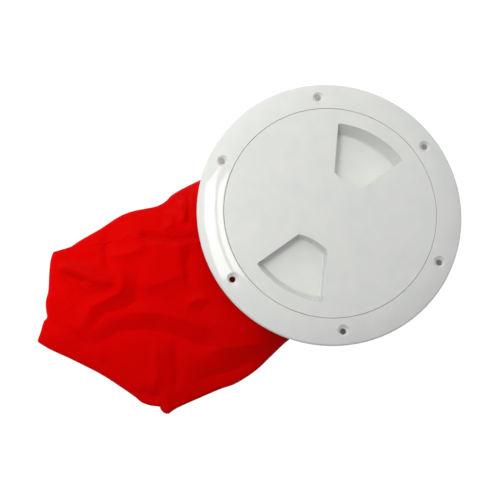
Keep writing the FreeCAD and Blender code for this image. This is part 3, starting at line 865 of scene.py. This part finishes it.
FOLDS: tuple[Fold, ...] = (
    # Sharp crease beside the plate, and the lit ridge left of it
    Fold(((-127, 71), (-121, 64), (-112, 55), (-93, 42)), -4.6, 2.6),
    Fold(((-125, 60), (-112, 49), (-100, 40)), 1.5, 4.0),
    Fold(((-145, 77), (-133, 74), (-128, 64)), 1.7, 4.5),
    Fold(((-159, 72), (-148, 64), (-137, 61), (-129, 60)), 2.5, 4.2),
    # Folds that fan out of the neck at the top
    Fold(((-78, 78), (-85, 66), (-94, 54)), -3.2, 1.9),
    Fold(((-75, 72), (-84, 59)), -2.4, 1.6),
    Fold(((-86, 76), (-90, 65), (-96, 58)), 2.2, 2.6),
    Fold(((-102, 76), (-99, 69), (-103, 63), (-109, 62)), 2.4, 3.0),
    Fold(((-105, 76), (-108, 68), (-113, 66)), -1.7, 2.4),
    # Upright crease at the upper left
    Fold(((-145, 92), (-154, 78), (-163, 60)), -3.2, 2.6),
    Fold(((-154, 91), (-160, 78)), 1.5, 3.4),
    # Ridge from the far corner with thin valleys under it
    Fold(((-193, 88), (-183, 74), (-174, 59), (-165, 48)), 5.2, 4.2),
    Fold(((-188, 92), (-177, 82), (-164, 73)), -2.9, 3.6),
    Fold(((-193, 81), (-187, 71), (-181, 61)), -2.5, 1.6),
    Fold(((-193, 77), (-190, 64), (-186, 50)), -3.1, 1.9),
    Fold(((-199, 73), (-200, 63), (-203, 52)), 1.5, 4.0),
    # Bent fold across the middle
    Fold(((-154, 59), (-160, 45), (-165, 41), (-179, 43), (-189, 45), (-200, 37)), 3.0, 4.2),
    Fold(((-145, 48), (-158, 29), (-169, 29), (-184, 35), (-197, 30)), -3.1, 4.4),
    Fold(((-150, 35), (-136, 30), (-121, 26)), 2.0, 5.0),
    Fold(((-107, 49), (-115, 35), (-122, 20)), 2.0, 4.0),
    Fold(((-103, 38), (-113, 28), (-118, 17)), -1.9, 3.6),
    Fold(((-130, 4), (-120, 4), (-112, -1)), 2.0, 3.0),
    Fold(((-121, -2), (-122, -10), (-118, -18)), -1.9, 3.0),
    # Left notch
    Fold(((-219, 54), (-213, 40), (-208, 20)), -3.2, 3.0),
    Fold(((-226, 50), (-221, 39), (-215, 22)), 1.5, 3.6),
    # Broad shadow across the lower half
    Fold(((-203, 28), (-183, 31), (-166, 24), (-149, 11), (-137, -3), (-123, -23)), 2.6, 6.0),
    Fold(((-198, 19), (-183, 18), (-165, 8), (-150, -7), (-138, -26), (-124, -40)), -2.6, 6.0),
    # Upright folds in the lower half
    Fold(((-164, -5), (-175, -22), (-187, -37)), 2.2, 4.6),
    Fold(((-151, -12), (-161, -29), (-171, -42)), -2.0, 4.2),
    Fold(((-200, 17), (-206, 6)), 1.7, 3.6),
    Fold(((-141, -30), (-124, -38), (-106, -48), (-90, -57)), 3.2, 6.5),
    Fold(((-152, -47), (-133, -54), (-110, -60)), -2.7, 5.0),
    # Gathered corner
    Fold(((-194, -29), (-190, -35), (-183, -40)), -3.1, 2.6),
    Fold(((-179, -38), (-183, -47)), 2.0, 2.4),
    Fold(((-199, -27), (-194, -36), (-189, -43)), -5.0, 3.0),
)


def ease(share: np.ndarray) -> np.ndarray:
    """Let a share from 0 to 1 start and end softly."""
    return share * share * (3 - 2 * share)


def near_line(places: np.ndarray, line: np.ndarray) -> tuple[np.ndarray, np.ndarray]:
    """Find how far places of the plan lie from a bent line.

    Args:
        places: The places, in millimetres.
        line: The corners of the line.

    Returns:
        The distance of each place, and the share of the line at which it is nearest.
    """
    nearest, along = np.full(len(places), 1e9), np.zeros(len(places))
    for number, (start, end) in enumerate(zip(line, line[1:])):
        way = end - start
        share = np.clip((places - start) @ way / max(way @ way, 1e-9), 0, 1)
        distance = np.linalg.norm(places - start - share[:, None] * way, axis=1)
        closer = distance < nearest
        nearest = np.where(closer, distance, nearest)
        along = np.where(closer, (number + share) / (len(line) - 1), along)
    return nearest, along


@dataclass
class StorageBag:
    """Flat-lying cloth bag, gathered on the collar of the ring by an elastic band.

    The bag is turned like a pot, ring by ring, and each ring is then moved to its place: the
    sleeve round the collar, the folded upper layer out to the outline, and the lower layer back
    to the middle.
    """

    sleeve: float = 83.05
    sleeve_top: float = -9.0
    sleeve_base: float = -17.3
    foot: float = -24.6
    floor: float = -24.85
    seam: float = -22.7
    near_top: float = -5.0
    far_top: float = -15.2
    reach: float = 235.0
    edge_roll: float = 60.0
    near_roll: float = 0.3
    edge_fullness: float = 1.8
    fold_roll: float = 26.0
    lip: float = 1.4
    lip_width: float = 2.0
    swell: float = 0.7
    crease: float = 0.17
    crinkle: float = 0.08
    neck_reach: float = 16.3
    open_reach: float = 16.0
    thickness: float = 0.5
    sleeve_rows: int = 7
    upper_rows: int = 84
    lower_rows: int = 14
    steps: int = 456
    thread_tilt: float = 24.0
    fan: tuple[float, float] = (112.0, 240.0)
    fan_share: float = 0.8
    outline: np.ndarray = field(default_factory=lambda: np.array(BAG_OUTLINE))

    def curve(self) -> np.ndarray:
        """Return the outline as a smooth curve of many points."""
        points = self.outline
        around = [points[0]] + list(points) + [points[-1]]
        smooth_points = []
        for a, b, c, d in zip(around, around[1:], around[2:], around[3:]):
            for share in np.linspace(0, 1, 12, endpoint=False):
                smooth_points.append(0.5 * (2 * b + (c - a) * share + (2 * a - 5 * b + 4 * c - d) * share**2
                                            + (3 * b - a - 3 * c + d) * share**3))
        return np.array(smooth_points + [points[-1]])

    def spread(self, turned: np.ndarray) -> np.ndarray:
        """Move evenly spaced directions so that most of them cross the bag.

        Args:
            turned: Directions in radians from 0 to a full turn, evenly spaced.

        Returns:
            The moved directions in radians.
        """
        low, high = self.fan
        rest = (1 - self.fan_share) * 360
        before = rest * low / (360 - (high - low))
        shares = [0, before, before + self.fan_share * 360, 360]
        return np.radians(np.interp(np.degrees(turned), shares, [0, low, high, 360]))

    def reach_at(self, turned: np.ndarray, curve: np.ndarray) -> np.ndarray:
        """Return how far the outline of the bag lies from the middle in each direction."""
        bearing = np.arctan2(curve[:, 1], curve[:, 0]) % (2 * math.pi)
        order = np.argsort(bearing)
        radius = np.hypot(curve[:, 0], curve[:, 1])
        return np.interp(turned, bearing[order], radius[order], left=self.sleeve, right=self.sleeve)

    def folds(self, places: np.ndarray) -> np.ndarray:
        """Return the sum of the folds at places of the plan."""
        total = np.zeros(len(places))
        for fold in FOLDS:
            nearest, along = near_line(places, np.array(fold.line, float))
            fade = np.clip(1.25 - np.abs(2 * along - 1) ** 3, 0, 1)
            crisp = np.exp(-((nearest / fold.width) ** 2) * 0.7) * 0.3 + np.exp(-nearest / fold.width) * 0.7
            total += fold.rise * crisp * fade
        return total

    def wrinkles(self, places: np.ndarray) -> np.ndarray:
        """Return small wrinkles of the cloth at places of the plan, the same on every run."""
        rises = np.empty(len(places))
        for number, (across, up) in enumerate(places):
            broad = noise.noise(Vector((across / 21, up / 15, 3.1)))
            sharp = 1 - abs(noise.noise(Vector((across / 12 + up / 30, up / 9, 7.7)))) * 2.4
            fine = 1 - abs(noise.noise(Vector((across / 5.5, up / 7 - across / 14, 1.3)))) * 2.4
            rises[number] = (self.swell * broad + self.crease * max(sharp, 0) ** 2
                             + self.crinkle * max(fine, 0) ** 2)
        return rises

    def upper(self, places: np.ndarray, curve: np.ndarray) -> np.ndarray:
        """Return the height of the upper layer at places of the plan."""
        inset, _ = near_line(places, curve)
        beyond = np.hypot(places[:, 0], places[:, 1]) - self.sleeve
        away = np.clip(beyond / self.edge_roll, 0, 1)
        reach = self.edge_roll * (self.near_roll + (1 - self.near_roll) * ease(away))
        roll = 1 - (1 - np.clip(inset / reach, 0, 1)) ** self.edge_fullness
        along = np.clip(-places[:, 0] / self.reach, 0, 1)
        crown = self.near_top + (self.far_top - self.near_top) * along**1.3
        drape = 1 - (1 - np.clip(inset / self.fold_roll, 0, 1)) ** 2
        lip = self.lip * np.sqrt(np.clip(inset / self.lip_width, 0, 1))
        height = self.seam + lip + (crown - self.seam - self.lip) * roll
        height += (self.folds(places) + self.wrinkles(places)) * drape
        away = np.clip((beyond - 2) / self.neck_reach, 0, 1)
        return self.sleeve_base + (height - self.sleeve_base) * ease(away)

    def place(self, piece: bpy.types.Object) -> None:
        """Move every ring of the turned blank to its place on the bag."""
        blank = np.empty(len(piece.data.vertices) * 3)
        piece.data.vertices.foreach_get("co", blank)
        blank = blank.reshape(-1, 3) / MM
        row = np.round(-blank[:, 2]).astype(int)
        turned = self.spread(np.arctan2(blank[:, 1], blank[:, 0]) % (2 * math.pi))
        curve = self.curve()
        edge = self.reach_at(turned, curve)
        edge = np.maximum(edge, self.sleeve + 0.15)
        final = np.zeros_like(blank)
        way = np.column_stack((np.cos(turned), np.sin(turned)))

        on_sleeve = row <= self.sleeve_rows
        share = row / self.sleeve_rows
        gathers = 0.16 * np.sin(turned * 74) * np.sin(turned * 31 + 1.0)
        radius = self.sleeve + gathers * np.clip(1.3 - share, 0, 1)
        height = self.sleeve_top + (self.sleeve_base - self.sleeve_top) * share
        final[on_sleeve] = np.column_stack((way * radius[:, None], height))[on_sleeve]

        on_top = (row > self.sleeve_rows) & (row <= self.sleeve_rows + self.upper_rows)
        share = (row - self.sleeve_rows) / self.upper_rows
        radius = self.sleeve + (edge - self.sleeve) * share
        places = way * radius[:, None]
        pouch = np.zeros(len(row))
        pouch[on_top] = self.upper(places[on_top], curve)
        wall = self.sleeve_base + (self.foot - self.sleeve_base) * share
        open_out = ease(np.clip((edge - self.sleeve) / self.open_reach, 0, 1))
        height = wall + (pouch - wall) * open_out
        final[on_top] = np.column_stack((places, height))[on_top]

        below = row > self.sleeve_rows + self.upper_rows
        share = (row - self.sleeve_rows - self.upper_rows) / self.lower_rows
        radius = edge * (1 - share)
        places = way * radius[:, None]
        final[below] = np.column_stack((places, np.full(len(row), self.floor)))[below]
        piece.data.vertices.foreach_set("co", (final * MM).ravel())
        piece.data.update()

    def lay_grid(self, piece: bpy.types.Object) -> None:
        """Give the cloth a flat grid in metres, along which its threads run."""
        grid = piece.data.uv_layers.new(name="cloth")
        places = np.array([vertex.co for vertex in piece.data.vertices])
        corners = np.empty(len(piece.data.loops), int)
        piece.data.loops.foreach_get("vertex_index", corners)
        x, y, z = places[corners].T
        tilt = math.radians(self.thread_tilt)
        across = x * math.cos(tilt) + y * math.sin(tilt)
        flat = np.column_stack((across, y * math.cos(tilt) - x * math.sin(tilt) + z))
        grid.data.foreach_set("uv", flat.ravel())

    def build(self, finish: NylonCloth) -> bpy.types.Object:
        """Build the bag and put it on its body.

        Args:
            finish: Finish of the cloth.

        Returns:
            The finished bag.
        """
        rows = self.sleeve_rows + self.upper_rows + self.lower_rows
        path = [(100.0, -float(row)) for row in range(rows)] + [(0.0, -float(rows))]
        piece = turn("bag_cloth", path, self.steps)
        self.place(piece)
        self.lay_grid(piece)
        apply_modifier(piece, "SOLIDIFY", thickness=self.thickness * MM, offset=0.0, use_even_offset=False)
        smooth(piece, 80)
        dress(piece, finish.make())
        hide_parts("storage_bag")
        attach(piece, "ring")
        return piece


@dataclass
class BagBand:
    """Woven elastic band that grips the sleeve of the bag on the collar."""

    inside: float = 83.8
    outside: float = 85.2
    top: float = -10.8
    base: float = -15.8
    rib: float = 0.12
    ribs: int = 5
    steps: int = 240

    def build(self, finish: WovenElastic) -> bpy.types.Object:
        """Build the band, put it on its body and return it."""
        height = (self.top - self.base) / (self.ribs * 4)
        outer = []
        for step in range(self.ribs * 4 + 1):
            swell = self.rib * (math.cos(step * math.pi / 2) - 1)
            outer.append((self.outside + swell, self.base + height * step))
        path = [(self.inside, self.base)] + outer + [(self.inside, self.top), (self.inside, self.base)]
        piece = turn("band_tape", path, self.steps)
        grid = piece.data.uv_layers.new(name="tape")
        for loop in piece.data.loops:
            x, y, z = piece.data.vertices[loop.vertex_index].co
            grid.data[loop.index].uv = (math.atan2(y, x) * self.outside * MM, z)
        smooth(piece, 50)
        dress(piece, finish.make())
        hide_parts("bag_band")
        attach(piece, "ring")
        return piece


# ---------------------------------------------------------------- studio


@dataclass(frozen=True)
class Pane:
    """One pane of the window that the flange mirrors, hung level above the plate."""

    name: str
    place: tuple[float, float, float]
    size: tuple[float, float]
    radiance: float


@dataclass(frozen=True)
class Beam:
    """One broad soft lamp, which is not seen in reflections."""

    name: str
    place: tuple[float, float, float]
    target: tuple[float, float, float]
    power: float
    angle: float
    radius: float = 0.22


@dataclass
class Studio:
    """Pale floor, soft light and the camera of the photograph."""

    floor_height: float = -0.02535
    paper: str = "#B4B4B4"
    paper_white: float = 1.15
    paper_share: float = 0.85
    room_low: float = 0.06
    room_high: float = 1.12
    room_side: tuple[float, float, float] = (0.03, 0.52, 0.855)
    beams: tuple[Beam, ...] = (
        Beam("beam_over_plate", (-0.36, 0.42, 1.05), (-0.04, 0.35, 0.0), 31.0, 50.0),
        Beam("beam_on_bag", (-0.60, 0.33, 0.75), (-0.24, 0.10, 0.0), 13.5, 19.0, 0.12),
    )
    lens_px: float = 798.546
    pane_bearing: float = 64.3
    panes: tuple[Pane, ...] = (
        Pane("pane_near", (0.0155, 0.392, 1.9), (0.52, 0.190), 5.6),
        Pane("pane_far", (-0.282, 0.555, 1.9), (0.876, 0.33), 5.6),
    )

    def floor(self) -> None:
        """Lay a pale floor that looks white to the camera and keeps the shadow."""
        deselect()
        bpy.ops.mesh.primitive_plane_add(size=6.0, location=(0, 0, self.floor_height))
        ground = bpy.context.object
        ground.name = "studio_floor"
        material = bpy.data.materials.new("white_paper_floor")
        material.use_nodes = True
        tree = material.node_tree
        tree.nodes.clear()
        paper = add_node(tree, "ShaderNodeBsdfDiffuse", {}, Color=linear(self.paper))
        white = add_node(tree, "ShaderNodeEmission", {}, Color=(1, 1, 1, 1), Strength=self.paper_white)
        rays = add_node(tree, "ShaderNodeLightPath", {})
        seen = add_node(tree, "ShaderNodeMath", {"operation": "MAXIMUM"}, i0=(rays, "Is Camera Ray"),
                        i1=(rays, "Is Glossy Ray"))
        share = add_node(tree, "ShaderNodeMath", {"operation": "MULTIPLY"}, i0=(seen, "Value"),
                         i1=self.paper_share)
        mixed = add_node(tree, "ShaderNodeMixShader", {}, i0=(share, "Value"), i1=(paper, "BSDF"),
                         i2=(white, "Emission"))
        add_node(tree, "ShaderNodeOutputMaterial", {}, Surface=(mixed, "Shader"))
        ground.data.materials.append(material)

    def shade(self) -> None:
        """Lay a plain paper disc under the plate, whose natural shade is seen through the screw holes."""
        deselect()
        bpy.ops.mesh.primitive_circle_add(vertices=96, radius=0.1, fill_type="NGON",
                                          location=(0.0064, 0.0021, self.floor_height + 0.00005))
        disc = bpy.context.object
        disc.name = "studio_shade"
        material, tree, shader = new_material("grey_paper_under_plate")
        place = add_node(tree, "ShaderNodeTexCoord", {})
        grain = add_node(tree, "ShaderNodeTexNoise", {}, Vector=(place, "Object"), Scale=900.0)
        tone = add_node(tree, "ShaderNodeMix", {"data_type": "RGBA"}, i0=(grain, "Fac"),
                        i6=linear("#C2C2C2"), i7=linear("#CACACA"))
        tree.links.new(tone.outputs[2], shader.inputs["Base Color"])
        shader.inputs["Roughness"].default_value = 0.9
        disc.data.materials.append(material)

    def sky(self) -> None:
        """Light the room evenly from all sides, white to the camera."""
        world = bpy.data.worlds.new("soft_room")
        bpy.context.scene.world = world
        world.use_nodes = True
        tree = world.node_tree
        tree.nodes.clear()
        rays = add_node(tree, "ShaderNodeLightPath", {})
        way = add_node(tree, "ShaderNodeTexCoord", {})
        facing = add_node(tree, "ShaderNodeVectorMath", {"operation": "DOT_PRODUCT"}, i0=(way, "Generated"),
                          i1=self.room_side)
        glow = add_node(tree, "ShaderNodeMapRange", {}, Value=(facing, "Value"), To_Min=self.room_low,
                        To_Max=self.room_high)
        strength = add_node(tree, "ShaderNodeMix", {}, i0=(rays, "Is Camera Ray"),
                            i2=(glow, "Result"), i3=1.0)
        tint = add_node(tree, "ShaderNodeMix", {"data_type": "RGBA"}, i0=(facing, "Value"),
                        i6=linear("#E8E8F6"), i7=linear("#FFFFFC"))
        white = add_node(tree, "ShaderNodeMix", {"data_type": "RGBA"}, i0=(rays, "Is Camera Ray"),
                         i6=(tint, 2), i7=linear("#FFFFFF"))
        room = add_node(tree, "ShaderNodeBackground", {}, Color=(white, 2), Strength=(strength, "Result"))
        add_node(tree, "ShaderNodeOutputWorld", {}, Surface=(room, "Background"))

    def pane(self, pane: Pane) -> None:
        """Hang one pane, which is seen in reflections but lights nothing."""
        deselect()
        turned = (0, 0, math.radians(self.pane_bearing))
        bpy.ops.object.light_add(type="AREA", location=pane.place, rotation=turned)
        lamp = bpy.context.object
        lamp.name = pane.name
        lamp.data.shape = "RECTANGLE"
        lamp.data.size, lamp.data.size_y = pane.size
        lamp.data.energy = math.pi * pane.size[0] * pane.size[1] * pane.radiance
        lamp.visible_diffuse = False

    def beam(self, beam: Beam) -> None:
        """Hang one soft lamp and aim it."""
        deselect()
        bpy.ops.object.light_add(type="SPOT", location=beam.place)
        lamp = bpy.context.object
        lamp.name = beam.name
        lamp.data.energy = beam.power
        lamp.data.spot_size = math.radians(beam.angle)
        lamp.data.spot_blend = 1.0
        lamp.data.shadow_soft_size = beam.radius
        lamp.visible_glossy = False
        lamp.rotation_mode = "QUATERNION"
        away = Vector(beam.place) - Vector(beam.target)
        lamp.rotation_quaternion = away.to_track_quat("Z", "Y")

    def camera(self) -> None:
        """Set up the camera where the photograph was taken from."""
        deselect()
        bpy.ops.object.camera_add(location=(-0.15041, -0.05044, 0.59237))
        eye = bpy.context.object
        eye.name = "photo_camera"
        right = Vector((0.8168238618, -0.5742123604, 0.0554882318))
        down = Vector((-0.5599987319, -0.8123380783, -0.1628135954))
        forward = Vector((0.1385647825, 0.1019166903, -0.9850953199))
        eye.rotation_mode = "QUATERNION"
        eye.rotation_quaternion = Matrix((right, -down, -forward)).transposed().to_quaternion()
        eye.data.sensor_width = 36.0
        eye.data.lens = self.lens_px * 36.0 / 500
        eye.data.clip_start = 0.01
        bpy.context.scene.camera = eye

    def build(self) -> None:
        """Build the whole studio."""
        self.floor()
        self.sky()
        self.shade()
        for pane in self.panes:
            self.pane(pane)
        for beam in self.beams:
            self.beam(beam)
        self.camera()
        bpy.context.scene.view_settings.view_transform = "Standard"


def report(piece: bpy.types.Object) -> None:
    """Log the size of a finished piece."""
    log.info("%s: %d faces, %s mm", piece.name, len(piece.data.polygons),
             [round(side * 1000, 1) for side in piece.dimensions])


def main() -> None:
    """Build every piece in order, then the studio."""
    logging.basicConfig(level=logging.INFO, format="%(name)s %(message)s")
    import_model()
    Studio().build()
    plastic = MouldedPlastic()
    report(DeckRing().build(plastic))
    report(ScrewLid().build(plastic))
    report(LidSeal().build(SealRubber()))
    report(StorageBag().build(NylonCloth()))
    report(BagBand().build(WovenElastic()))


if __name__ == "__main__":
    main()
